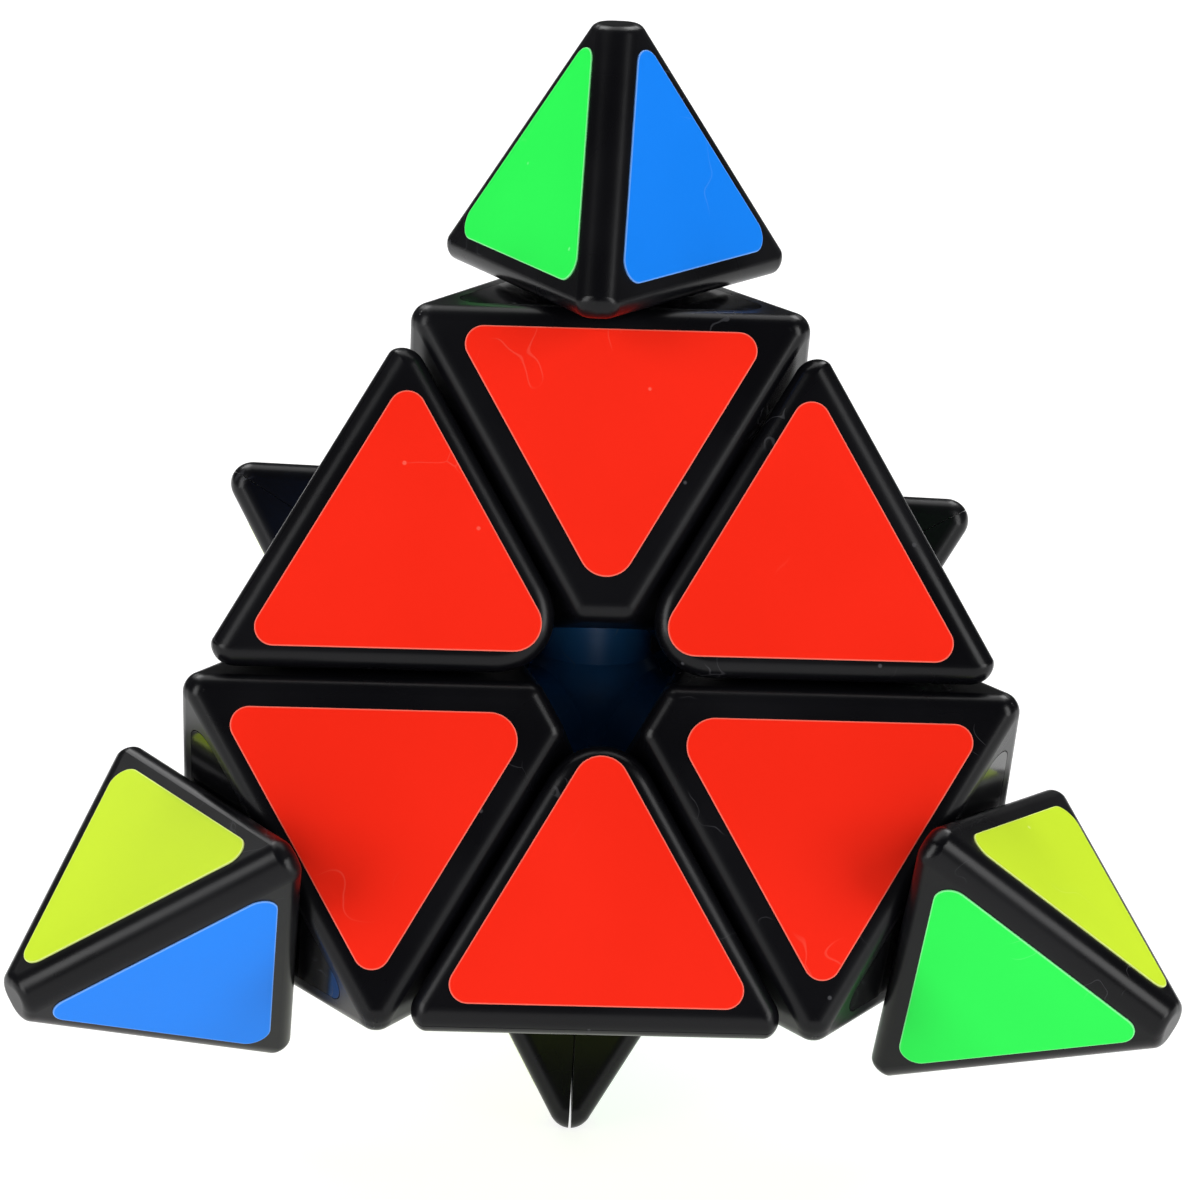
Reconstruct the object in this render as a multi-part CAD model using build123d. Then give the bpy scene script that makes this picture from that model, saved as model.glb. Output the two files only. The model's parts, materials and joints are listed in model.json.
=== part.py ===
from build123d import *
import os
from math import cos, radians, sin, sqrt

os.makedirs("parts", exist_ok=True)

# Pyramid twisty puzzle. The origin is the centre of the core and +Z runs up
# through the top corner. The front face looks towards -Y. The rear layer and
# the corner tips are drawn in the part-turned state the puzzle was left in.

# ---- overall shape, mm --------------------------------------------------------
EDGE = 106.0            # edge of the pointed tetrahedron before rounding
FACE = EDGE / (2.0 * sqrt(6.0))     # centre to a face
PEAK = 3.0 * FACE       # centre to a pointed corner
LAYER = 6.74            # centre to the cut between a corner layer and the rest
SEAT = 36.44            # centre to the flat seat on top of a corner block
TIP_FLOOR = 36.84       # centre to the underside of a turning tip
GAP = 0.20              # half of the clearance between neighbouring blocks
WALL = 1.6              # moulded wall thickness

# ---- turned state, degrees ------------------------------------------------------
REAR_TURN = 61.5
TIP_TURN = {"top": 174.7, "left": 176.6, "right": 172.5, "rear": 60.0}

# ---- rounding and blunted corners, mm -------------------------------------------
ROUND = 1.6             # fillet on corner and edge blocks
OUTER_ROUND = 2.0       # fillet along the outer edge of an edge block
INNER_ROUND = 5.2       # fillet where an edge block points at the face centres
TIP_ROUND = 2.2         # fillet on the three sloping edges of a tip
TIP_BASE_ROUND = 1.3    # fillet round the bottom of a tip
TIP_PEAK = 59.3         # centre to the small flat on top of a tip
TIP_PEAK_ROUND = 1.1    # fillet round that flat
STAR = 4.8              # face centre to the cut-off points of the corner blocks
BLUNT = 1.5             # depth cut off the outer points of a corner block

# ---- bearing and capture system, mm ----------------------------------------------
ROOT_R = 4.8            # thick root of a core arm
ROOT_END = 7.6          # core centre to the shoulder where the root ends
BALL_R = 6.3            # ball in the middle that joins the roots
ARM_R = 3.6             # core arm
ARM_END = 12.5          # core centre to the end of an arm
PILOT_R = 1.27          # screw hole in the core arm
FOOT_IN = 9.2           # inside radius of the captured feet
FOOT_OUT = 14.6         # outside radius of the captured feet
DOME = 15.0             # spherical underside of the corner blocks
FOOT_CUT = 1.3          # centre to the cut between neighbouring feet
FOOT_GAP = 0.25         # half of the clearance between neighbouring feet
NECK_HALF = 5.5         # half width of the neck that carries a foot
WINDOW_R = 6.8          # clear bore round each face centre, down to the core
STEM_R = 4.2            # central tube of a corner block
STEM_START = 12.8
STEM_END = 29.0
SHELF = 16.2            # step in the central tube that the spring pushes on
SHANK_R = 1.25
SHANK_BORE_R = 1.30
CHAMBER_R = 3.2         # spring chamber in the central tube
HEAD_R = 2.9
HEAD_AT = 22.6          # core centre to the underside of the screw head
HEAD_T = 2.2
WASHER_T = 0.5
WIRE_R = 0.35
COIL_R = 2.3
COILS = 4

# ---- cap, tip plate and snap stem, mm --------------------------------------------
CAP_T = 1.6
CAP_IN_R = 8.2          # inscribed radius of the triangular cap
CAP_OPENING = 6.8       # inscribed radius of the opening under the cap
BUSH_R = 4.0            # hole the tip stem turns in
BUSH_WALL = 1.4
BUSH_DROP = 1.2         # how far the bush stands below the cap
TIP_STEM_R = 3.95
TIP_STEM_END = 31.2
BARB_R = 4.5
BARB_AT = 33.6          # top of the barb, just under the bush
BARB_T = 0.8
SLOT = 0.8
TIP_PLATE_IN_R = 7.85
FIT = 0.05              # clearance between glued parts

# ---- edge shells, mm ---------------------------------------------------------------
CAVITY_START = 18.0     # core centre to the hollow of an edge block
SEAM = 0.03             # half of the seam between two half shells
SPRUNG = 0.5            # degrees each half of the loose shell leans open
SPRUNG_FROM = 25.0      # core centre to where that lean starts
PEG_R = 1.2
PEG_AT = 25.0
PEG_REACH = 3.5         # length of the peg
BOSS_R = 2.6

# ---- stickers, mm -------------------------------------------------------------------
STICKER_T = 0.15
STICKER_SIDE = 27.0
STICKER_CORNER = 1.6    # corner radius away from the face centre
STICKER_POINT = 2.4     # corner radius towards the face centre
CORNER_STICKER_AT = 21.72   # face centre to the sticker of a corner block
EDGE_STICKER_AT = 19.65     # face centre to the sticker of an edge block
TIP_STICKER_SIDE = 23.74
TIP_STICKER_AT = 41.0

LEAN = sqrt(8.0) / 3.0  # sine of the angle between two corner axes
RISE = 1.0 / 3.0        # minus its cosine
NEAR = 1.0 / sqrt(3.0)
WIDE = sqrt(2.0 / 3.0)
REACH = 100.0

AXES = {
    "top": Vector(0, 0, 1),
    "left": Vector(-WIDE, -LEAN / 2, -RISE),
    "right": Vector(WIDE, -LEAN / 2, -RISE),
    "rear": Vector(0, LEAN, -RISE),
}
# The face opposite each corner carries one colour.
COLOUR = {"rear": "red", "right": "blue", "left": "green", "top": "yellow"}
CORNERS = ["top", "left", "right", "rear"]
EDGES = [
    ("top", "left"),
    ("top", "right"),
    ("left", "right"),
    ("rear", "top"),
    ("rear", "left"),
    ("rear", "right"),
]
LOOSE_EDGE = ("rear", "right")
CENTRE = Vector(0, 0, 0)


# ---- helpers --------------------------------------------------------------------------
def below(normal, distance):
    """Block on the inner side of a plane, given its normal and distance."""
    plane = Plane(origin=normal * distance, z_dir=normal)
    return plane.location * Pos(0, 0, -REACH) * Box(4 * REACH, 4 * REACH, 2 * REACH)


def beyond(normal, distance):
    """Block on the outer side of a plane."""
    return below(normal * -1, -distance)


def common(blocks):
    """The part shared by all the blocks."""
    body = blocks[0]
    for block in blocks[1:]:
        body = body & block
    return body


def rod(radius, low, high):
    """Round bar on the local Z axis between two heights."""
    return Pos(0, 0, (low + high) / 2) * Cylinder(radius, high - low)


def triangle_plate(inscribed, low, high, corner):
    """Flat triangular plate whose sides match the puzzle faces."""
    bar = None
    for turn in range(3):
        angle = radians(-90 + 120 * turn)
        side = below(Vector(cos(angle), sin(angle), 0), inscribed)
        bar = side if bar is None else bar & side
    plate = bar & rod(REACH, low, high)
    return fillet(plate.edges().filter_by(Axis.Z), corner)


def face_normal(turn):
    """Outward normal of one of the three faces round a corner, in its own frame."""
    angle = radians(-90 + 120 * turn)
    return Vector(LEAN * cos(angle), LEAN * sin(angle), RISE)


def wall_normal(turn):
    """Normal of one of the three cuts round a corner block, in its own frame."""
    angle = radians(90 + 120 * turn)
    return Vector(LEAN * cos(angle), LEAN * sin(angle), -RISE)


def uphill(face):
    """Direction up a face, from its centre towards the corner of the frame."""
    return (Vector(0, 0, 1) - face * RISE).normalized()


def corner_frame(corner, away_from):
    """Frame on a corner axis whose -Y side is the face opposite away_from."""
    up = AXES[corner]
    back = AXES[away_from] - up * up.dot(AXES[away_from])
    side = back.cross(up).normalized()
    return Plane(origin=CENTRE, x_dir=side, z_dir=up).location


def edge_frame(first, second):
    """Frame of an edge block: X outwards, Z along the outer edge."""
    out = (AXES[first] + AXES[second]).normalized()
    along = (AXES[first] - AXES[second]).normalized()
    return Plane(origin=CENTRE, x_dir=out, z_dir=along).location


def first_other(corner):
    """Any corner that is not the given one."""
    return [name for name in CORNERS if name != corner][0]


def turned(shape, layer, angle):
    """Turn a shape about the axis of a corner."""
    return shape.rotate(Axis(CENTRE, AXES[layer]), angle)


def placed(shape, layer):
    """Turn a shape with the rear layer when it belongs to it."""
    if layer == "rear":
        return turned(shape, "rear", REAR_TURN)
    return shape


def save(shape, node):
    export_step(shape, os.path.join("parts", node + ".step"))


# ---- core, screws and springs -----------------------------------------------------------
def core_spider():
    """Ball with four thick arm roots, each with a thinner bored arm."""
    frames = [corner_frame(corner, first_other(corner)) for corner in CORNERS]
    spider = Sphere(BALL_R)
    for frame in frames:
        spider = spider + frame * rod(ROOT_R, 0, ROOT_END)
    for frame in frames:
        spider = spider + frame * rod(ARM_R, 0, ARM_END)
    for frame in frames:
        spider = spider - frame * rod(PILOT_R, 3.6, ARM_END + 1)
    return spider


def screw():
    """Pan head screw on the local Z axis with a cross recess."""
    body = rod(SHANK_R, 4.0, HEAD_AT) + rod(HEAD_R, HEAD_AT, HEAD_AT + HEAD_T)
    body = fillet(body.edges().group_by(Axis.Z)[-1], 0.9)
    recess = Pos(0, 0, HEAD_AT + HEAD_T) * (Box(3.0, 0.7, 2.0) + Box(0.7, 3.0, 2.0))
    return body - recess


def washer():
    ring = rod(HEAD_R, HEAD_AT - WASHER_T, HEAD_AT)
    return ring - rod(SHANK_R + 0.1, HEAD_AT - 2 * WASHER_T, HEAD_AT + WASHER_T)


def spring():
    """Compression spring between the shelf and the washer."""
    low = SHELF + WIRE_R + 0.02
    height = HEAD_AT - WASHER_T - WIRE_R - 0.02 - low
    path = Pos(0, 0, low) * Helix(height / COILS, height, COIL_R)
    start = Plane(origin=path @ 0, z_dir=path % 0)
    return sweep(start * Circle(WIRE_R), path=path, is_frenet=True)


# ---- corner block -------------------------------------------------------------------------
def corner_outside():
    """Solid corner block with blunted points and rounded edges."""
    up = Vector(0, 0, 1)
    blocks = [below(up, SEAT), beyond(up, LAYER + GAP)]
    for turn in range(3):
        face = face_normal(turn)
        wall = wall_normal(turn)
        blocks.append(below(face, FACE))
        blocks.append(below(wall, LAYER - GAP))
        blocks.append(beyond(uphill(face), STAR))
        outward = Vector(wall.X, wall.Y, 0).normalized()
        shoulder = up * SEAT + outward * ((PEAK - SEAT) * NEAR / WIDE)
        slant = outward * WIDE + up * NEAR
        blocks.append(below(slant, slant.dot(shoulder) - BLUNT))
    body = common(blocks)
    return fillet(body.edges(), ROUND)


def corner_cavity():
    """Hollow inside a corner block, round its central tube."""
    up = Vector(0, 0, 1)
    blocks = [below(up, SEAT - 2 * CAP_T)]
    for turn in range(3):
        face = face_normal(turn)
        blocks.append(below(face, FACE - WALL))
        blocks.append(below(wall_normal(turn), LAYER - GAP - WALL))
        blocks.append(beyond(uphill(face), STAR + WALL))
    hollow = common(blocks) & beyond(up, LAYER + GAP + WALL)
    return hollow - Sphere(DOME + WALL) - rod(STEM_R, 0, SEAT)


def corner_body():
    """Corner block with its tube bored for screw, spring and screw head."""
    shell = corner_outside() - Sphere(DOME) - corner_cavity()
    shell = shell - triangle_plate(CAP_IN_R + FIT, SEAT - CAP_T - FIT, SEAT + 1, 2.0)
    shell = shell - triangle_plate(CAP_OPENING, SEAT - 2 * CAP_T - 1, SEAT, 2.0)
    shell = shell - rod(BARB_R + 0.5, STEM_END, SEAT)
    shell = shell + rod(STEM_R, STEM_START, STEM_END)
    shell = shell - rod(SHANK_BORE_R, STEM_START - 1, SHELF)
    return shell - rod(CHAMBER_R, SHELF, STEM_END + 1)


def corner_cap():
    """Glossy triangular cap with the bush that the tip turns in."""
    cap = triangle_plate(CAP_IN_R, SEAT - CAP_T, SEAT, 2.0)
    cap = cap + rod(BUSH_R + BUSH_WALL, SEAT - CAP_T - BUSH_DROP, SEAT - CAP_T)
    return cap - rod(BUSH_R, SEAT - 3 * CAP_T, SEAT + 1)


# ---- tip ------------------------------------------------------------------------------------
def tip_outside():
    faces = [below(face_normal(turn), FACE) for turn in range(3)]
    body = common(faces + [beyond(Vector(0, 0, 1), TIP_FLOOR)])
    sloping = [e for e in body.edges() if e.center().Z > TIP_FLOOR + 1]
    body = fillet(sloping, TIP_ROUND) & below(Vector(0, 0, 1), TIP_PEAK)
    body = fillet(body.faces().sort_by(Axis.Z)[-1].edges(), TIP_PEAK_ROUND)
    return fillet(body.faces().sort_by(Axis.Z)[0].edges(), TIP_BASE_ROUND)


def tip_shell():
    """Hollow tip, open underneath where its plate is glued in."""
    faces = [below(face_normal(turn), FACE - WALL - 0.2) for turn in range(3)]
    hollow = common(faces + [beyond(Vector(0, 0, 1), TIP_FLOOR + CAP_T)])
    hollow = hollow & below(Vector(0, 0, 1), PEAK - 12.0)
    recess = triangle_plate(TIP_PLATE_IN_R + FIT, TIP_FLOOR - 1, TIP_FLOOR + CAP_T, 1.2)
    return tip_outside() - hollow - recess


def tip_base():
    """Plate that closes a tip, with its slotted snap stem."""
    plate = triangle_plate(TIP_PLATE_IN_R, TIP_FLOOR, TIP_FLOOR + CAP_T - FIT, 1.2)
    stem = rod(TIP_STEM_R, TIP_STEM_END, TIP_FLOOR)
    barb_low = BARB_AT - BARB_T
    barb = rod(BARB_R, barb_low, BARB_AT)
    lead_in = Pos(0, 0, (TIP_STEM_END + barb_low) / 2)
    lead_in = lead_in * Cone(TIP_STEM_R - 0.4, BARB_R, barb_low - TIP_STEM_END)
    stem = stem + barb + lead_in
    slot_mid = (TIP_STEM_END + TIP_FLOOR) / 2 - 0.6
    slots = Box(SLOT, 4 * BARB_R, 6.0) + Box(4 * BARB_R, SLOT, 6.0)
    return plate + (stem - Pos(0, 0, slot_mid - 1.0) * slots)


# ---- edge block ------------------------------------------------------------------------------
def edge_planes(inset):
    """Half spaces that bound an edge block, moved inwards by a wall thickness."""
    blocks = []
    for side in (1, -1):
        blocks.append(below(Vector(NEAR, side * WIDE, 0), FACE - inset))
        blocks.append(beyond(Vector(NEAR, 0, side * WIDE), LAYER + GAP + inset))
    return blocks


def edge_outside():
    """Solid edge block with a well rounded inner edge and a softer outer edge."""
    body = common(edge_planes(0.0))
    body = fillet(body.edges().sort_by(Axis.X)[0], INNER_ROUND)
    outer = body.edges().filter_by(Axis.Z).sort_by(Axis.X)[-1]
    body = fillet(outer, OUTER_ROUND)
    return fillet(body.edges(), ROUND)


def edge_windows():
    """Bores that keep the view from the two face centres to the core clear."""
    bores = []
    for side in (1, -1):
        frame = Plane(origin=CENTRE, z_dir=Vector(NEAR, side * WIDE, 0)).location
        bores.append(frame * rod(WINDOW_R, 0, FACE))
    return bores[0] + bores[1]


def edge_foot():
    """Curved foot held under the two neighbouring corner blocks."""
    blocks = [Sphere(FOOT_OUT)]
    for side in (1, -1):
        blocks.append(beyond(Vector(NEAR, 0, side * WIDE), FOOT_CUT + FOOT_GAP))
        blocks.append(below(Vector(-NEAR, side * WIDE, 0), FOOT_CUT - FOOT_GAP))
    return common(blocks) - Sphere(FOOT_IN)


def edge_neck():
    """Wedge between the foot and the block."""
    blocks = [Sphere(FOOT_OUT + 6.0)]
    for side in (1, -1):
        blocks.append(beyond(Vector(NEAR, 0, side * WIDE), LAYER + GAP))
        blocks.append(below(Vector(0, side, 0), NECK_HALF))
    return common(blocks)


def edge_block():
    """Whole hollow edge block with its neck and foot, before it is split."""
    cavity = common(edge_planes(WALL)) & beyond(Vector(1, 0, 0), CAVITY_START)
    boss = Pos(PEG_AT, 0, 0) * Rot(90, 0, 0) * Cylinder(BOSS_R, 2 * REACH)
    inside = edge_neck() + edge_foot() - edge_windows()
    return edge_outside() - (cavity - boss) + inside


def edge_halves(block, lean):
    """Split an edge block in two, with a peg and socket across the seam."""
    halves = []
    for side in (1, -1):
        tilt = radians(lean)
        normal = Vector(-sin(tilt), side * cos(tilt), 0)
        pivot = Vector(SPRUNG_FROM, 0, 0)
        half = block & beyond(normal, normal.dot(pivot) + SEAM)
        if lean:
            half = half & beyond(Vector(0, side, 0), SEAM)
        halves.append(half)
    peg = Pos(PEG_AT, -PEG_REACH / 2 + 0.5, 0) * Rot(90, 0, 0)
    socket = Pos(PEG_AT, -PEG_REACH / 2, 0) * Rot(90, 0, 0)
    halves[0] = halves[0] + peg * Cylinder(PEG_R, PEG_REACH)
    halves[1] = halves[1] - socket * Cylinder(PEG_R + FIT, PEG_REACH + 1.0)
    return halves


# ---- stickers ---------------------------------------------------------------------------------
def sticker(side, point_radius, corner_radius):
    """Rounded triangle in its own XY plane, with its special point along -Y."""
    tall = side * sqrt(3.0)
    corners = [(0, -tall / 3), (side / 2, tall / 6), (-side / 2, tall / 6)]
    flat = make_face(Polyline(*corners, close=True))
    points = flat.vertices().sort_by(Axis.Y)
    flat = fillet(points[0], point_radius)
    others = [v for v in flat.vertices() if v.Y > tall / 6 - 0.01]
    flat = fillet(others, corner_radius)
    return extrude(flat, STICKER_T)


def on_face(shape, distance):
    """Lay a sticker on the -Y face of a corner frame, a distance up from its centre."""
    face = face_normal(0)
    place = face * FACE + uphill(face) * distance
    plane = Plane(origin=place, x_dir=(1, 0, 0), z_dir=face)
    return plane.location * shape


def body_stickers(corner):
    """Sticker shapes of the six blocks on the face opposite a corner."""
    shape = sticker(STICKER_SIDE, STICKER_POINT, STICKER_CORNER)
    found = {}
    rim = [name for name in CORNERS if name != corner]
    for name in rim:
        found[(name,)] = corner_frame(name, corner) * on_face(shape, CORNER_STICKER_AT)
        pair = [other for other in rim if other != name]
        flipped = Rot(0, 0, 180) * shape
        far_side = corner_frame(name, corner) * on_face(flipped, -EDGE_STICKER_AT)
        found[tuple(pair)] = far_side
    return found


def tip_sticker(corner, away_from):
    shape = sticker(TIP_STICKER_SIDE, STICKER_CORNER, STICKER_CORNER)
    shape = Rot(0, 0, 180) * shape
    laid = corner_frame(corner, away_from) * on_face(shape, TIP_STICKER_AT)
    return turned(laid, corner, TIP_TURN[corner])


# ---- build --------------------------------------------------------------------------------------
def build_core():
    save(core_spider(), "core_spider")
    one_screw = screw()
    one_washer = washer()
    one_spring = spring()
    screws = []
    washers = []
    for corner in CORNERS:
        frame = corner_frame(corner, first_other(corner))
        screws.append(frame * one_screw)
        washers.append(frame * one_washer)
        save(frame * one_spring, "spring_" + corner)
    save(Compound(children=screws), "screws")
    save(Compound(children=washers), "washers")


def build_corners():
    body = corner_body()
    cap = corner_cap()
    shell = tip_shell()
    base = tip_base()
    for corner in CORNERS:
        frame = corner_frame(corner, first_other(corner))
        save(placed(frame * body, corner), "corner_" + corner)
        save(placed(frame * cap, corner), "cap_" + corner)
        tip = turned(frame * shell, corner, TIP_TURN[corner])
        save(placed(tip, corner), "tip_" + corner)
        plate = turned(frame * base, corner, TIP_TURN[corner])
        save(placed(plate, corner), "tip_base_" + corner)


def build_edges():
    block = edge_block()
    tight = edge_halves(block, 0.0)
    loose = edge_halves(block, SPRUNG)
    for first, second in EDGES:
        frame = edge_frame(first, second)
        halves = loose if (first, second) == LOOSE_EDGE else tight
        upper_side = Plane(frame).y_dir
        for other in CORNERS:
            if other in (first, second):
                continue
            half = halves[0] if AXES[other].dot(upper_side) < 0 else halves[1]
            node = "edge_" + first + "_" + second + "_" + COLOUR[other]
            save(placed(frame * half, first), node)


def build_stickers():
    for away in CORNERS:
        still = []
        moving = []
        for blocks, shape in body_stickers(away).items():
            if "rear" in blocks:
                moving.append(placed(shape, "rear"))
            else:
                still.append(shape)
        if still:
            save(Compound(children=still), "stickers_" + COLOUR[away])
        if moving:
            save(Compound(children=moving), "rear_stickers_" + COLOUR[away])
    for corner in CORNERS:
        for away in CORNERS:
            if away == corner:
                continue
            shape = placed(tip_sticker(corner, away), corner)
            save(shape, "tip_" + corner + "_" + COLOUR[away])


build_core()
build_corners()
build_edges()
build_stickers()
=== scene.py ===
"""Looks of the part-turned pyramid puzzle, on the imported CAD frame."""

import json
import logging
import math
from dataclasses import dataclass, field
from enum import Enum

import bpy
import numpy as np
from mathutils import Matrix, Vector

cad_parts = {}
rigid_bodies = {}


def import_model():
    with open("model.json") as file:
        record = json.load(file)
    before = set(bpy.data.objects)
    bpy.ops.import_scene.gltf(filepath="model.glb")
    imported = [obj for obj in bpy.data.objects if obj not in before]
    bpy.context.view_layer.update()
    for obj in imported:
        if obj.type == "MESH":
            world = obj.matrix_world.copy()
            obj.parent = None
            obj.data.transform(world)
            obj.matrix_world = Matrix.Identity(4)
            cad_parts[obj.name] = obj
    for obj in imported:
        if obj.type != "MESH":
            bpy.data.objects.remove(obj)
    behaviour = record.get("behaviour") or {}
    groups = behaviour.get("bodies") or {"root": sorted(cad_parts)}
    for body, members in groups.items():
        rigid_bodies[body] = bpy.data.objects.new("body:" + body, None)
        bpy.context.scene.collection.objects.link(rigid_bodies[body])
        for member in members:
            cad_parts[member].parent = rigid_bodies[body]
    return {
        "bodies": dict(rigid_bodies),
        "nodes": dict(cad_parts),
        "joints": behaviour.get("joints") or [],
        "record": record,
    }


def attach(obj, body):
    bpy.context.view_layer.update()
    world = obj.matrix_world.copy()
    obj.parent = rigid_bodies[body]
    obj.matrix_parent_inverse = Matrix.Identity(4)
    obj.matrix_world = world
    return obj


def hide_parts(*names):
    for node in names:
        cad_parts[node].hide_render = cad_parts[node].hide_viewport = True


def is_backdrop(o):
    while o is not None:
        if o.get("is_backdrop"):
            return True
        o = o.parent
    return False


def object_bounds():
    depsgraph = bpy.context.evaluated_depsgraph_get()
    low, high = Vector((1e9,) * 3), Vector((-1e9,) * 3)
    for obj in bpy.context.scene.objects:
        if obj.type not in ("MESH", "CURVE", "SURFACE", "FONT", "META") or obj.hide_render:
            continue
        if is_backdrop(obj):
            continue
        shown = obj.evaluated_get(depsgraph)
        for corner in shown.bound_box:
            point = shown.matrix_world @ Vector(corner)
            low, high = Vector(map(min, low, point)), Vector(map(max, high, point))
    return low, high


LOG = logging.getLogger("pyramid_puzzle")
MM = 0.001
Array = np.ndarray
Colour = tuple[float, float, float]


class Corner(Enum):
    """The four corners of the puzzle; each names one turning axis."""

    TOP = "top"
    LEFT = "left"
    RIGHT = "right"
    REAR = "rear"


class Film(Enum):
    """Sticker colours; each belongs to the face opposite one corner."""

    RED = "red"
    BLUE = "blue"
    GREEN = "green"
    YELLOW = "yellow"


FILM_OPPOSITE = {
    Corner.REAR: Film.RED,
    Corner.RIGHT: Film.BLUE,
    Corner.LEFT: Film.GREEN,
    Corner.TOP: Film.YELLOW,
}


# ---- node building ----------------------------------------------------------


class NodeBoard:
    """A material's node tree with short calls for adding and joining nodes."""

    def __init__(self, name: str) -> None:
        """Start an empty node material.

        Args:
            name: Name of the material.
        """
        self.material = bpy.data.materials.new(name)
        self.material.use_nodes = True
        self.tree = self.material.node_tree
        self.tree.nodes.clear()

    def add(self, kind: str, **settings: object) -> bpy.types.Node:
        """Add a node and set its properties or input values.

        Args:
            kind: Blender's node class name.
            settings: Node properties, or input names with spaces as "__".

        Returns:
            The new node.
        """
        node = self.tree.nodes.new(kind)
        for key, value in settings.items():
            if hasattr(node, key):
                setattr(node, key, value)
            else:
                node.inputs[key.replace("__", " ")].default_value = value
        return node

    def join(self, source: bpy.types.NodeSocket, target: bpy.types.NodeSocket) -> None:
        """Link one socket to another."""
        self.tree.links.new(source, target)

    def place(self, scale: float = 1.0, seed: float = 0.0) -> bpy.types.NodeSocket:
        """Object coordinates in units of 1/scale metres.

        Args:
            scale: Repeats per metre.
            seed: Shift that makes one pattern differ from another.

        Returns:
            A vector socket.
        """
        coords = self.add("ShaderNodeTexCoord")
        mapping = self.add("ShaderNodeMapping")
        mapping.inputs["Scale"].default_value = (scale, scale, scale)
        mapping.inputs["Location"].default_value = (seed, seed * 0.7, seed * 1.3)
        self.join(coords.outputs["Object"], mapping.inputs["Vector"])
        return mapping.outputs["Vector"]

    def noise(
        self, scale: float, detail: float = 2.0, seed: float = 0.0
    ) -> bpy.types.NodeSocket:
        """Soft noise between 0 and 1.

        Args:
            scale: Repeats per metre.
            detail: Octaves.
            seed: Pattern shift.

        Returns:
            A value socket.
        """
        node = self.add("ShaderNodeTexNoise", Scale=1.0, Detail=detail)
        self.join(self.place(scale, seed), node.inputs["Vector"])
        return node.outputs["Fac"]

    def span(
        self,
        value: bpy.types.NodeSocket,
        low: float,
        high: float,
        start: float = 0.0,
        end: float = 1.0,
    ) -> bpy.types.NodeSocket:
        """Map low..high of a value to start..end with soft ends, clamped.

        Args:
            value: Socket to map.
            low: Value that gives start.
            high: Value that gives end.
            start: Result at low.
            end: Result at high.

        Returns:
            A value socket.
        """
        node = self.add("ShaderNodeMapRange", interpolation_type="SMOOTHSTEP")
        self.join(value, node.inputs["Value"])
        node.inputs["From Min"].default_value = low
        node.inputs["From Max"].default_value = high
        node.inputs["To Min"].default_value = start
        node.inputs["To Max"].default_value = end
        return node.outputs["Result"]

    def math(
        self, operation: str, first: object, second: object = 0.0
    ) -> bpy.types.NodeSocket:
        """Arithmetic on two sockets or numbers.

        Args:
            operation: Blender's operation name.
            first: Socket or number.
            second: Socket or number.

        Returns:
            A value socket.
        """
        node = self.add("ShaderNodeMath", operation=operation)
        for index, item in enumerate((first, second)):
            if isinstance(item, bpy.types.NodeSocket):
                self.join(item, node.inputs[index])
            else:
                node.inputs[index].default_value = float(item)
        return node.outputs[0]

    def mix(
        self, factor: bpy.types.NodeSocket, first: object, second: object
    ) -> bpy.types.NodeSocket:
        """Blend two colours.

        Args:
            factor: 0 gives the first colour and 1 the second.
            first: Socket or colour.
            second: Socket or colour.

        Returns:
            A colour socket.
        """
        node = self.add("ShaderNodeMix", data_type="RGBA")
        self.join(factor, node.inputs[0])
        for index, item in ((6, first), (7, second)):
            if isinstance(item, bpy.types.NodeSocket):
                self.join(item, node.inputs[index])
            else:
                node.inputs[index].default_value = (*item, 1.0)
        return node.outputs[2]

    def hairlines(
        self, cells: float, width: float, rarity: float, seed: float
    ) -> bpy.types.NodeSocket:
        """Thin curved scratches: warped cell borders, kept only in a few places.

        Args:
            cells: Cells per metre.
            width: Half width of a line, as a share of a cell.
            rarity: Noise level above which a line shows, 0 to 1.
            seed: Pattern shift.

        Returns:
            A value socket, 1 on a scratch.
        """
        warp = self.add("ShaderNodeTexNoise", Scale=1.0, Detail=1.5)
        self.join(self.place(cells * 1.7, seed), warp.inputs["Vector"])
        bend = self.add("ShaderNodeVectorMath", operation="MULTIPLY_ADD")
        bend.inputs[1].default_value = (1.5, 1.5, 1.5)
        self.join(warp.outputs["Color"], bend.inputs[0])
        self.join(self.place(cells, seed + 3.1), bend.inputs[2])
        cell = self.add(
            "ShaderNodeTexVoronoi", feature="DISTANCE_TO_EDGE", voronoi_dimensions="3D"
        )
        cell.inputs["Scale"].default_value = 1.0
        self.join(bend.outputs[0], cell.inputs["Vector"])
        line = self.span(cell.outputs["Distance"], width * 0.35, width, 1.0, 0.0)
        where = self.noise(cells * 0.9, 1.0, seed + 7.7)
        shown = self.span(where, rarity, rarity + 0.04)
        return self.math("MULTIPLY", line, shown)

    def specks(self, cells: float, size: float, seed: float) -> bpy.types.NodeSocket:
        """Small scattered dots of dust.

        Args:
            cells: Cells per metre.
            size: Dot radius, as a share of a cell.
            seed: Pattern shift.

        Returns:
            A value socket, 1 on a dot.
        """
        cell = self.add("ShaderNodeTexVoronoi", feature="F1", voronoi_dimensions="3D")
        cell.inputs["Scale"].default_value = 1.0
        self.join(self.place(cells, seed), cell.inputs["Vector"])
        dot = self.span(cell.outputs["Distance"], size * 0.5, size, 1.0, 0.0)
        split = self.add("ShaderNodeSeparateColor")
        self.join(cell.outputs["Color"], split.inputs["Color"])
        chosen = self.span(split.outputs["Red"], 0.72, 0.78)
        return self.math("MULTIPLY", dot, chosen)

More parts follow.
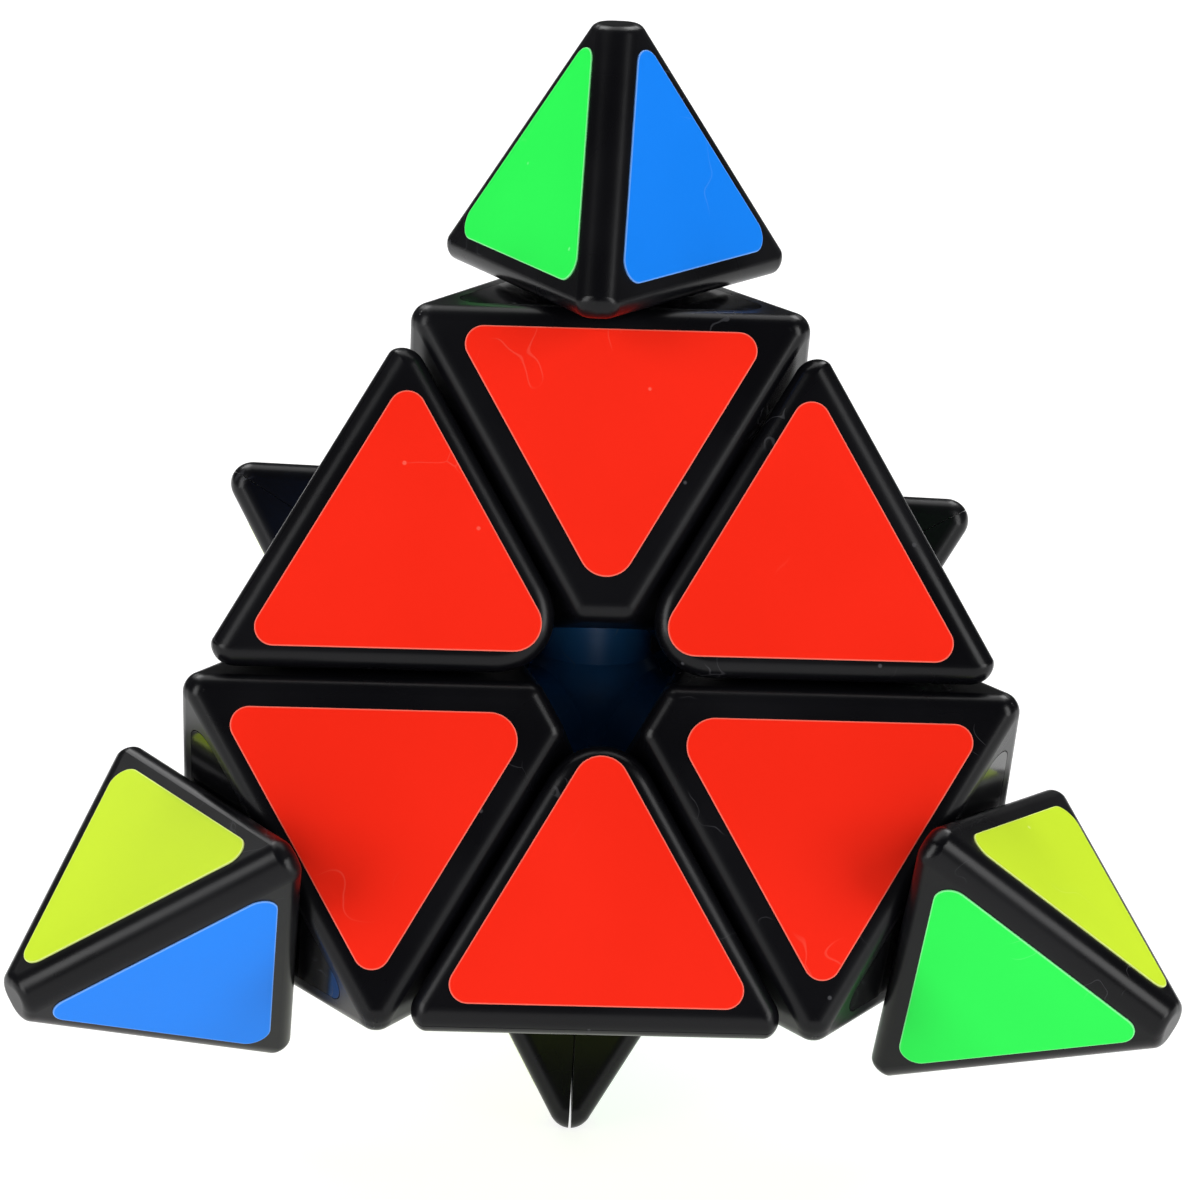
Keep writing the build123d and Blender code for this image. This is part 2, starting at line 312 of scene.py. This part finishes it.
    def bump(
        self, height: bpy.types.NodeSocket, distance: float, strength: float = 1.0
    ) -> bpy.types.NodeSocket:
        """Surface relief from a height value.

        Args:
            height: Value socket.
            distance: Relief in metres where the value is 1.
            strength: Share of the relief used.

        Returns:
            A normal socket.
        """
        node = self.add("ShaderNodeBump", Strength=strength, Distance=distance)
        self.join(height, node.inputs["Height"])
        return node.outputs["Normal"]

    def finish(
        self,
        colour: object,
        roughness: object,
        normal: bpy.types.NodeSocket | None = None,
        **fixed: object,
    ) -> bpy.types.Material:
        """Close the tree with the main shader.

        Args:
            colour: Base colour socket or value.
            roughness: Roughness socket or value.
            normal: Normal socket, if the surface has relief.
            fixed: Plain numbers for other inputs, spaces written "__".

        Returns:
            The finished material.
        """
        shader = self.add("ShaderNodeBsdfPrincipled")
        for name, item in (("Base Color", colour), ("Roughness", roughness)):
            if isinstance(item, bpy.types.NodeSocket):
                self.join(item, shader.inputs[name])
            elif name == "Base Color":
                shader.inputs[name].default_value = (*item, 1.0)
            else:
                shader.inputs[name].default_value = item
        for name, value in fixed.items():
            shader.inputs[name.replace("__", " ")].default_value = value
        if normal is not None:
            self.join(normal, shader.inputs["Normal"])
        output = self.add("ShaderNodeOutputMaterial")
        self.join(shader.outputs[0], output.inputs["Surface"])
        return self.material


# ---- finishes ---------------------------------------------------------------


@dataclass(frozen=True)
class VinylFilm:
    """Bright self-adhesive film with a pale cut edge and faint hairlines."""

    name: str
    colour: Colour
    worn: Colour
    seed: float
    cut_edge: float = 0.16
    cut_paleness: float = 0.45
    hairline_strength: float = 0.09
    speck_strength: float = 0.25
    roughness: float = 0.36
    shine: float = 0.16
    grain: float = 8e-6

    def build(self) -> bpy.types.Material:
        """Make the film's material.

        Returns:
            The material. It reads the piece's own attribute "inset_mm".
        """
        board = NodeBoard(self.name)
        inset = board.add("ShaderNodeAttribute", attribute_name="inset_mm")
        rim = board.span(inset.outputs["Fac"], 0.03, self.cut_edge, 1.0, 0.0)
        cloud = board.span(board.noise(45.0, 2.0, self.seed), 0.3, 0.7)
        deep = tuple(c * 0.95 for c in self.colour)
        base = board.mix(cloud, deep, self.colour)
        lines = board.hairlines(70.0, 0.007, 0.62, self.seed + 1.0)
        dust = board.specks(300.0, 0.07, self.seed + 9.0)
        faint = board.math("MULTIPLY", lines, self.hairline_strength)
        dots = board.math("MULTIPLY", dust, self.speck_strength)
        marks = board.math("MAXIMUM", faint, dots)
        edge = board.math("MULTIPLY", rim, self.cut_paleness)
        pale = board.math("MAXIMUM", marks, edge)
        worn = board.mix(pale, base, self.worn)
        uneven = board.math("MULTIPLY", cloud, 0.07)
        rough = board.math("ADD", uneven, board.math("MULTIPLY", marks, 0.3))
        rough = board.math("ADD", rough, self.roughness)
        normal = board.bump(board.noise(1300.0, 2.0, self.seed), self.grain)
        return board.finish(worn, rough, normal, IOR=1.46, Specular__IOR__Level=self.shine)


@dataclass(frozen=True)
class ShellPlastic:
    """Moulded plastic, satin to glossy, with faint rub marks and dust."""

    name: str
    colour: Colour
    scratch: Colour
    roughness: float
    ripple: float
    seed: float
    sheen_level: float = 0.5
    wear: float = 0.12
    speck_strength: float = 0.25
    mark_roughness: float = 0.6

    def build(self) -> bpy.types.Material:
        """Make the plastic's material.

        Returns:
            The material.
        """
        board = NodeBoard(self.name)
        cloud = board.span(board.noise(60.0, 3.0, self.seed), 0.3, 0.72)
        dusty = tuple(c * 1.5 + 0.001 for c in self.colour)
        base = board.mix(cloud, self.colour, dusty)
        lines = board.hairlines(130.0, 0.010, 0.60, self.seed + 2.0)
        dust = board.specks(300.0, 0.07, self.seed + 6.0)
        faint = board.math("MULTIPLY", lines, self.wear)
        dots = board.math("MULTIPLY", dust, self.speck_strength)
        marks = board.math("MAXIMUM", faint, dots)
        worn = board.mix(marks, base, self.scratch)
        spread = board.math("MULTIPLY", cloud, self.roughness * 0.35)
        rough = board.math("ADD", spread, self.roughness)
        rough = board.math("ADD", rough, board.math("MULTIPLY", marks, self.mark_roughness))
        normal = board.bump(board.noise(420.0, 1.0, self.seed), self.ripple)
        return board.finish(
            worn, rough, normal, IOR=1.5, Specular__IOR__Level=self.sheen_level
        )


@dataclass(frozen=True)
class PlatedSteel:
    """Plain plated steel for screws, washers and springs."""

    name: str
    colour: Colour
    roughness: float
    seed: float

    def build(self) -> bpy.types.Material:
        """Make the steel's material.

        Returns:
            The material.
        """
        board = NodeBoard(self.name)
        cloud = board.span(board.noise(700.0, 4.0, self.seed), 0.3, 0.7)
        dull = tuple(c * 0.72 for c in self.colour)
        base = board.mix(cloud, dull, self.colour)
        rough = board.math("ADD", board.math("MULTIPLY", cloud, 0.12), self.roughness)
        normal = board.bump(board.noise(2600.0, 2.0, self.seed), 0.00001)
        return board.finish(base, rough, normal, Metallic=1.0)


@dataclass(frozen=True)
class StudioPaper:
    """Pale matt paper under the object."""

    name: str
    colour: Colour
    glow: float = 0.85
    roughness: float = 0.9

    def build(self) -> bpy.types.Material:
        """Make the paper's material.

        Returns:
            The material.
        """
        board = NodeBoard(self.name)
        cloud = board.span(board.noise(9.0, 2.0, 2.0), 0.2, 0.8)
        soft = tuple(c * 0.985 for c in self.colour)
        base = board.mix(cloud, soft, self.colour)
        return board.finish(
            base,
            self.roughness,
            Emission__Color=(1.0, 1.0, 1.0, 1.0),
            Emission__Strength=self.glow,
        )


# ---- shape of the puzzle ----------------------------------------------------


def turn_matrix(axis: Array, degrees: float) -> Array:
    """Rotation about an axis through the origin, by Rodrigues' formula.

    Args:
        axis: Unit vector.
        degrees: Turn by the right-hand rule.

    Returns:
        A 3 by 3 matrix.
    """
    angle = math.radians(degrees)
    x, y, z = axis
    cross = np.array([[0.0, -z, y], [z, 0.0, -x], [-y, x, 0.0]])
    return np.eye(3) + math.sin(angle) * cross + (1 - math.cos(angle)) * cross @ cross


@dataclass
class PyramidShape:
    """Axes, faces and turned state that every sub-assembly shares."""

    edge: float = 106.0 * MM
    rear_turn: float = 61.5
    tip_turn: dict[Corner, float] = field(
        default_factory=lambda: {
            Corner.TOP: 174.7,
            Corner.LEFT: 176.6,
            Corner.RIGHT: 172.5,
            Corner.REAR: 60.0,
        }
    )

    def __post_init__(self) -> None:
        """Work out the four corner axes of a regular tetrahedron."""
        lean = math.sqrt(8.0) / 3.0
        wide = math.sqrt(2.0 / 3.0)
        self.axes = {
            Corner.TOP: np.array([0.0, 0.0, 1.0]),
            Corner.LEFT: np.array([-wide, -lean / 2, -1 / 3]),
            Corner.RIGHT: np.array([wide, -lean / 2, -1 / 3]),
            Corner.REAR: np.array([0.0, lean, -1 / 3]),
        }
        self.face_distance = self.edge / (2.0 * math.sqrt(6.0))

    def face_plane(self, corner: Corner, opposite: Corner, uphill: float) -> Array:
        """Frame on the face opposite one corner, some way towards another.

        Args:
            corner: Corner that the frame's second axis points to.
            opposite: Corner that the face doesn't touch.
            uphill: Distance from the face centre towards the corner, metres.

        Returns:
            A 4 by 4 matrix whose columns are x, y, outward normal and origin.
        """
        normal = -self.axes[opposite]
        up = self.axes[corner] - normal * (normal @ self.axes[corner])
        up /= np.linalg.norm(up)
        frame = np.eye(4)
        frame[:3, 0] = np.cross(up, normal)
        frame[:3, 1] = up
        frame[:3, 2] = normal
        frame[:3, 3] = normal * self.face_distance + up * uphill
        return frame

    def turned(self, frame: Array, corner: Corner, degrees: float) -> Array:
        """Turn a frame about a corner's axis.

        Args:
            frame: 4 by 4 matrix.
            corner: Corner whose axis is used.
            degrees: Turn by the right-hand rule.

        Returns:
            The turned 4 by 4 matrix.
        """
        spin = np.eye(4)
        spin[:3, :3] = turn_matrix(self.axes[corner], degrees)
        return spin @ frame


# ---- stickers ---------------------------------------------------------------


@dataclass
class StickerSheet:
    """Builds the film pieces: thin rounded triangles with a rolled edge."""

    shape: PyramidShape
    thickness: float = 0.15 * MM
    side: float = 27.0 * MM
    tip_side: float = 23.74 * MM
    corner_radius: float = 1.6 * MM
    point_radius: float = 2.4 * MM
    corner_at: float = 21.72 * MM
    edge_at: float = 19.65 * MM
    tip_at: float = 41.0 * MM
    arc_steps: int = 14
    side_steps: int = 14

    def outline(self, side: float, point: float, corner: float) -> tuple[Array, Array]:
        """Rounded triangle pointing to -y, walked once round.

        Each corner is an arc about a centre set in from both sides by its
        radius, and the sides are straight runs between the arcs.

        Args:
            side: Side of the sharp triangle, metres.
            point: Radius of the corner at -y, metres.
            corner: Radius of the other two corners, metres.

        Returns:
            Points and outward directions, each N by 2.
        """
        reach = side / math.sqrt(3.0)
        points, normals = [], []
        for heading, radius in ((-90.0, point), (30.0, corner), (150.0, corner)):
            middle = math.radians(heading)
            away = np.array([math.cos(middle), math.sin(middle)])
            centre = away * (reach - 2.0 * radius)
            sweep = middle + np.linspace(-math.pi / 3, math.pi / 3, self.arc_steps)
            out = np.stack([np.cos(sweep), np.sin(sweep)], 1)
            points.append(centre + radius * out)
            normals.append(out)
        ring, facing = [], []
        share = np.linspace(0.0, 1.0, self.side_steps + 2)[1:-1, None]
        for index in range(3):
            following = (index + 1) % 3
            start, end = points[index][-1], points[following][0]
            ring += [points[index], start + (end - start) * share]
            straight = np.repeat(normals[index][-1:], self.side_steps, 0)
            facing += [normals[index], straight]
        return np.concatenate(ring), np.concatenate(facing)

    def film(
        self, side: float, point: float, corner: float
    ) -> tuple[Array, list[tuple[int, ...]], Array]:
        """One film: an edge profile carried round the outline, closed on top.

        The profile climbs from the shell, rolls over a small radius and runs
        in flat; past the corner radius the rings shrink evenly to the centre.

        Args:
            side: Side of the sharp triangle, metres.
            point: Radius of the special corner, metres.
            corner: Radius of the other corners, metres.

        Returns:
            Vertices N by 3, faces, and each vertex's distance in from the rim.
        """
        path, out = self.outline(side, point, corner)
        deep = self.thickness
        roll = deep * 0.55
        angle = np.linspace(0.0, math.pi / 2, 5)
        inset = np.concatenate(
            [[0.0], roll * (1 - np.cos(angle)), np.array([0.25, 0.5, 0.9, 1.4]) * MM]
        )
        height = np.concatenate(
            [[0.0], deep - roll * (1 - np.sin(angle)), np.full(4, deep)]
        )
        rings = path[None] - out[None] * inset[:, None, None]
        levels = np.repeat(height[:, None], len(path), 1)
        away = np.repeat(inset[:, None], len(path), 1)
        shrink = np.array([0.86, 0.7, 0.52, 0.34, 0.16])
        middle = rings[-1].mean(0)
        inner = middle + (rings[-1] - middle)[None] * shrink[:, None, None]
        depth = inset[-1] + (1 - shrink) * side * 0.25
        rings = np.concatenate([rings, inner])
        levels = np.concatenate([levels, np.full(inner.shape[:2], deep)])
        away = np.concatenate([away, np.repeat(depth[:, None], len(path), 1)])
        flat = np.concatenate([rings, levels[..., None]], -1).reshape(-1, 3)
        count = len(path)
        faces = grid_faces(len(rings), count)
        last = (len(rings) - 1) * count
        top = len(flat)
        vertices = np.concatenate([flat, [[*middle, deep], [*middle, 0.0]]])
        insets = np.concatenate([away.ravel(), [side * 0.3, side * 0.3]])
        for step in range(count):
            nxt = (step + 1) % count
            faces.append((last + step, last + nxt, top))
            faces.append((nxt, step, top + 1))
        return vertices, faces, insets

    def face_frames(self, opposite: Corner) -> dict[tuple[Corner, ...], Array]:
        """Where the six films of one face lie, by the corners their block touches.

        Args:
            opposite: Corner that the face doesn't touch.

        Returns:
            4 by 4 matrices whose -y side holds the film's special corner.
        """
        frames: dict[tuple[Corner, ...], Array] = {}
        rim = [corner for corner in Corner if corner is not opposite]
        flip = np.diag([-1.0, -1.0, 1.0, 1.0])
        for corner in rim:
            frame = self.shape.face_plane(corner, opposite, self.corner_at)
            frames[(corner,)] = frame
            across = self.shape.face_plane(corner, opposite, -self.edge_at)
            pair = tuple(other for other in rim if other is not corner)
            frames[pair] = across @ flip
        return frames

    def lay(
        self,
        name: str,
        frames: list[Array],
        tip: bool,
        body: str,
        material: bpy.types.Material,
        nodes: list[str],
    ) -> bpy.types.Object:
        """Lay films of one colour in the given frames as one piece.

        Args:
            name: Name of the piece.
            frames: One 4 by 4 matrix for each film.
            tip: True for the smaller films of a tip.
            body: Body that the piece rides on.
            material: Film material.
            nodes: CAD nodes that the piece stands for.

        Returns:
            The new piece.
        """
        if tip:
            plain = self.film(self.tip_side, self.corner_radius, self.corner_radius)
        else:
            plain = self.film(self.side, self.point_radius, self.corner_radius)
        vertices, faces, insets = plain
        all_vertices, all_faces, all_insets = [], [], []
        for index, frame in enumerate(frames):
            placed = vertices @ frame[:3, :3].T + frame[:3, 3]
            offset = index * len(vertices)
            all_vertices.append(placed)
            all_faces += [tuple(v + offset for v in face) for face in faces]
            all_insets.append(insets / MM)
        piece = new_piece(name, np.concatenate(all_vertices), all_faces, material)
        mark = piece.data.attributes.new("inset_mm", "FLOAT", "POINT")
        mark.data.foreach_set("value", np.concatenate(all_insets).astype(np.float32))
        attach(piece, body)
        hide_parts(*nodes)
        return piece

    def build(self, films: dict[Film, bpy.types.Material]) -> None:
        """Lay every film of the puzzle.

        Args:
            films: Material of each colour.
        """
        for opposite, colour in FILM_OPPOSITE.items():
            still, moving = [], []
            for blocks, frame in self.face_frames(opposite).items():
                if Corner.REAR in blocks:
                    turned = self.shape.turned(frame, Corner.REAR, self.shape.rear_turn)
                    moving.append(turned)
                else:
                    still.append(frame)
            word = colour.value
            material = films[colour]
            node = "stickers_" + word
            self.lay("film_" + word, still, False, "core", material, [node])
            if moving:
                node = "rear_stickers_" + word
                name = "rear_film_" + word
                self.lay(name, moving, False, "rear_layer", material, [node])
            self.build_tips(opposite, colour, material)
            LOG.info("laid the %s films", word)

    def build_tips(
        self, opposite: Corner, colour: Film, material: bpy.types.Material
    ) -> None:
        """Lay one colour's films on the three tips that carry it.

        Args:
            opposite: Corner that the colour's face doesn't touch.
            colour: The colour.
            material: Its material.
        """
        flip = np.diag([-1.0, -1.0, 1.0, 1.0])
        for corner in Corner:
            if corner is opposite:
                continue
            frame = self.shape.face_plane(corner, opposite, self.tip_at) @ flip
            frame = self.shape.turned(frame, corner, self.shape.tip_turn[corner])
            if corner is Corner.REAR:
                frame = self.shape.turned(frame, corner, self.shape.rear_turn)
            word = corner.value
            name = "tip_" + word + "_film_" + colour.value
            node = "tip_" + word + "_" + colour.value
            self.lay(name, [frame], True, "tip_" + word, material, [node])


# ---- mesh helpers -----------------------------------------------------------


def grid_faces(rows: int, columns: int) -> list[tuple[int, ...]]:
    """Four-sided faces of a grid that closes round its columns.

    Args:
        rows: Rings.
        columns: Points in a ring.

    Returns:
        Faces, outward when the rings run counterclockwise and climb.
    """
    row, column = np.meshgrid(np.arange(rows - 1), np.arange(columns), indexing="ij")
    following = (column + 1) % columns
    first = row * columns + column
    second = row * columns + following
    third = (row + 1) * columns + following
    fourth = (row + 1) * columns + column
    corners = np.stack([first, second, third, fourth], -1).reshape(-1, 4)
    return [tuple(face) for face in corners.tolist()]


def new_piece(
    name: str, vertices: Array, faces: list[tuple[int, ...]], material: bpy.types.Material
) -> bpy.types.Object:
    """Make a smooth-shaded mesh object at the origin.

    Args:
        name: Object name.
        vertices: N by 3 places in metres.
        faces: Vertex numbers of each face.
        material: Finish.

    Returns:
        The object, linked to the scene.
    """
    mesh = bpy.data.meshes.new(name)
    mesh.from_pydata(vertices.tolist(), [], faces)
    mesh.validate()
    mesh.shade_smooth()
    mesh.materials.append(material)
    piece = bpy.data.objects.new(name, mesh)
    bpy.context.scene.collection.objects.link(piece)
    return piece


# ---- shells and metal kept from the CAD -------------------------------------


@dataclass
class CadFinishes:
    """Gives each CAD node that stays visible its real finish."""

    satin: ShellPlastic = ShellPlastic(
        name="satin_black_shell",
        colour=(0.0018, 0.0018, 0.0026),
        scratch=(0.2, 0.2, 0.22),
        roughness=0.25,
        ripple=1.2e-5,
        seed=1.0,
        sheen_level=0.21,
    )
    gloss: ShellPlastic = ShellPlastic(
        name="gloss_black_plate",
        colour=(0.0018, 0.0018, 0.0022),
        scratch=(0.2, 0.2, 0.22),
        roughness=0.09,
        ripple=0.5e-5,
        seed=5.0,
        sheen_level=0.35,
        wear=0.2,
    )
    blue: ShellPlastic = ShellPlastic(
        name="dark_blue_core",
        colour=(0.03, 0.2, 0.55),
        scratch=(0.25, 0.35, 0.5),
        roughness=0.35,
        ripple=1.5e-5,
        seed=9.0,
        sheen_level=0.5,
        wear=0.5,
    )
    screw: PlatedSteel = PlatedSteel("zinc_screw", (0.62, 0.63, 0.64), 0.3, 1.0)
    spring: PlatedSteel = PlatedSteel("spring_wire", (0.45, 0.46, 0.48), 0.25, 2.0)

    def dress(self, nodes: dict[str, bpy.types.Object]) -> None:
        """Assign a finish to every CAD node by its name.

        Args:
            nodes: CAD objects by node name.
        """
        satin, gloss = self.satin.build(), self.gloss.build()
        blue, screw, spring = self.blue.build(), self.screw.build(), self.spring.build()
        for name, item in nodes.items():
            if name == "core_spider":
                finish = blue
            elif name in ("screws", "washers"):
                finish = screw
            elif name.startswith("spring_"):
                finish = spring
            elif name.startswith(("cap_", "tip_base_")):
                finish = gloss
            else:
                finish = satin
            for index in range(len(item.material_slots)):
                item.material_slots[index].material = finish
        LOG.info("dressed %d CAD nodes", len(nodes))


# ---- studio -----------------------------------------------------------------


@dataclass
class Studio:
    """Paper floor, soft lights and the camera."""

    camera_at: tuple[float, float, float] = (-18.03 * MM, -487.78 * MM, 136.13 * MM)
    azimuth: float = -2.143
    elevation: float = 14.636
    roll: float = 2.045
    lens: float = 173.8
    sensor_width: float = 36.0
    paper_reach: float = 3.0
    paper_rings: int = 12
    paper_spokes: int = 48
    paper_grey: float = 0.3
    room_light: float = 0.05

    def build(self, low: float) -> None:
        """Make the whole studio.

        Args:
            low: Height of the object's lowest point, metres.
        """
        self.build_paper(low)
        self.build_lights()
        self.build_camera()
        settings = bpy.context.scene.view_settings
        settings.view_transform = "Standard"
        LOG.info("studio ready")

    def build_paper(self, low: float) -> None:
        """Wide flat floor: rings of growing radius about the origin.

        Ring k has a radius of the reach times (k / rings) squared, so the rings
        lie close together under the object.

        Args:
            low: Height of the floor, metres.
        """
        rings, spokes = self.paper_rings, self.paper_spokes
        radius = self.paper_reach * (np.arange(rings, 0, -1) / rings) ** 2
        angle = np.linspace(0.0, 2.0 * math.pi, spokes, endpoint=False)
        x = radius[:, None] * np.cos(angle)
        y = radius[:, None] * np.sin(angle)
        vertices = np.stack([x, y, np.full_like(x, low)], -1).reshape(-1, 3)
        faces = grid_faces(rings, spokes)
        faces.append(tuple(range((rings - 1) * spokes, rings * spokes)))
        grey = self.paper_grey
        paper = StudioPaper("white_paper", (grey, grey, grey)).build()
        floor = new_piece("studio_paper", vertices, faces, paper)
        floor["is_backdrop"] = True

    def build_lights(self) -> None:
        """Tall panels on both sides, a high panel, two rear panels and a dim room."""
        panels = (
            ("side_left", (-0.92, -0.58, 0.26), (0.5, 1.0), 9.0),
            ("side_right", (0.92, -0.56, 0.28), (0.5, 1.0), 9.0),
            ("overhead", (0.0, 0.4, 1.2), (1.6, 0.8), 9.0),
            ("rear_left", (-0.5, 0.75, 0.95), (0.5, 0.6), 5.0),
            ("rear_right", (0.5, 0.75, 0.95), (0.5, 0.6), 5.0),
        )
        for name, place, size, power in panels:
            lamp = bpy.data.lights.new(name, "AREA")
            lamp.shape = "RECTANGLE"
            lamp.size, lamp.size_y = size
            lamp.energy = power
            light = bpy.data.objects.new(name, lamp)
            light.location = place
            light.rotation_mode = "QUATERNION"
            light.rotation_quaternion = (-light.location).to_track_quat("-Z", "Y")
            bpy.context.scene.collection.objects.link(light)
        self.build_room()

    def build_room(self) -> None:
        """Dim even light from the room; the room itself is seen as white."""
        world = bpy.data.worlds.new("dim_room")
        world.use_nodes = True
        tree = world.node_tree
        dim = tree.nodes["Background"]
        dim.inputs["Color"].default_value = (1.0, 1.0, 1.0, 1.0)
        dim.inputs["Strength"].default_value = self.room_light
        white = tree.nodes.new("ShaderNodeBackground")
        white.inputs["Color"].default_value = (1.0, 1.0, 1.0, 1.0)
        rays = tree.nodes.new("ShaderNodeLightPath")
        choose = tree.nodes.new("ShaderNodeMixShader")
        tree.links.new(rays.outputs["Is Camera Ray"], choose.inputs[0])
        tree.links.new(dim.outputs[0], choose.inputs[1])
        tree.links.new(white.outputs[0], choose.inputs[2])
        tree.links.new(choose.outputs[0], tree.nodes["World Output"].inputs["Surface"])
        bpy.context.scene.world = world

    def build_camera(self) -> None:
        """Long lens from slightly above, rolled a little."""
        azimuth, elevation = math.radians(self.azimuth), math.radians(self.elevation)
        roll = math.radians(self.roll)
        back = np.array(
            [
                math.sin(azimuth) * math.cos(elevation),
                -math.cos(azimuth) * math.cos(elevation),
                math.sin(elevation),
            ]
        )
        side = np.cross(-back, [0.0, 0.0, 1.0])
        side /= np.linalg.norm(side)
        up = np.cross(side, -back)
        right = side * math.cos(roll) + up * math.sin(roll)
        top = -side * math.sin(roll) + up * math.cos(roll)
        camera_data = bpy.data.cameras.new("camera")
        camera_data.lens = self.lens
        camera_data.sensor_width = self.sensor_width
        camera = bpy.data.objects.new("camera", camera_data)
        rows = [[*line, place] for line, place in zip(zip(right, top, back), self.camera_at)]
        camera.matrix_world = Matrix([*rows, [0.0, 0.0, 0.0, 1.0]])
        bpy.context.scene.collection.objects.link(camera)
        bpy.context.scene.camera = camera


# ---- everything -------------------------------------------------------------


def build_films() -> dict[Film, bpy.types.Material]:
    """Make the four film materials.

    Returns:
        Materials by colour.
    """
    finishes = {
        Film.RED: VinylFilm("film_red", (0.93, 0.020, 0.006), (1.0, 0.35, 0.25), 1.0),
        Film.BLUE: VinylFilm("film_blue", (0.004, 0.22, 0.90), (0.35, 0.6, 1.0), 2.0),
        Film.GREEN: VinylFilm("film_green", (0.02, 0.88, 0.085), (0.5, 1.0, 0.6), 3.0),
        Film.YELLOW: VinylFilm("film_yellow", (0.60, 0.82, 0.025), (0.95, 1.0, 0.55), 4.0),
    }
    return {colour: finish.build() for colour, finish in finishes.items()}


def main() -> None:
    """Build the looks in order."""
    logging.basicConfig(level=logging.INFO, format="%(message)s")
    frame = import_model()
    cad_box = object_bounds()
    CadFinishes().dress(frame["nodes"])
    shape = PyramidShape()
    StickerSheet(shape).build(build_films())
    Studio().build(cad_box[0].z)


if __name__ == "__main__":
    main()
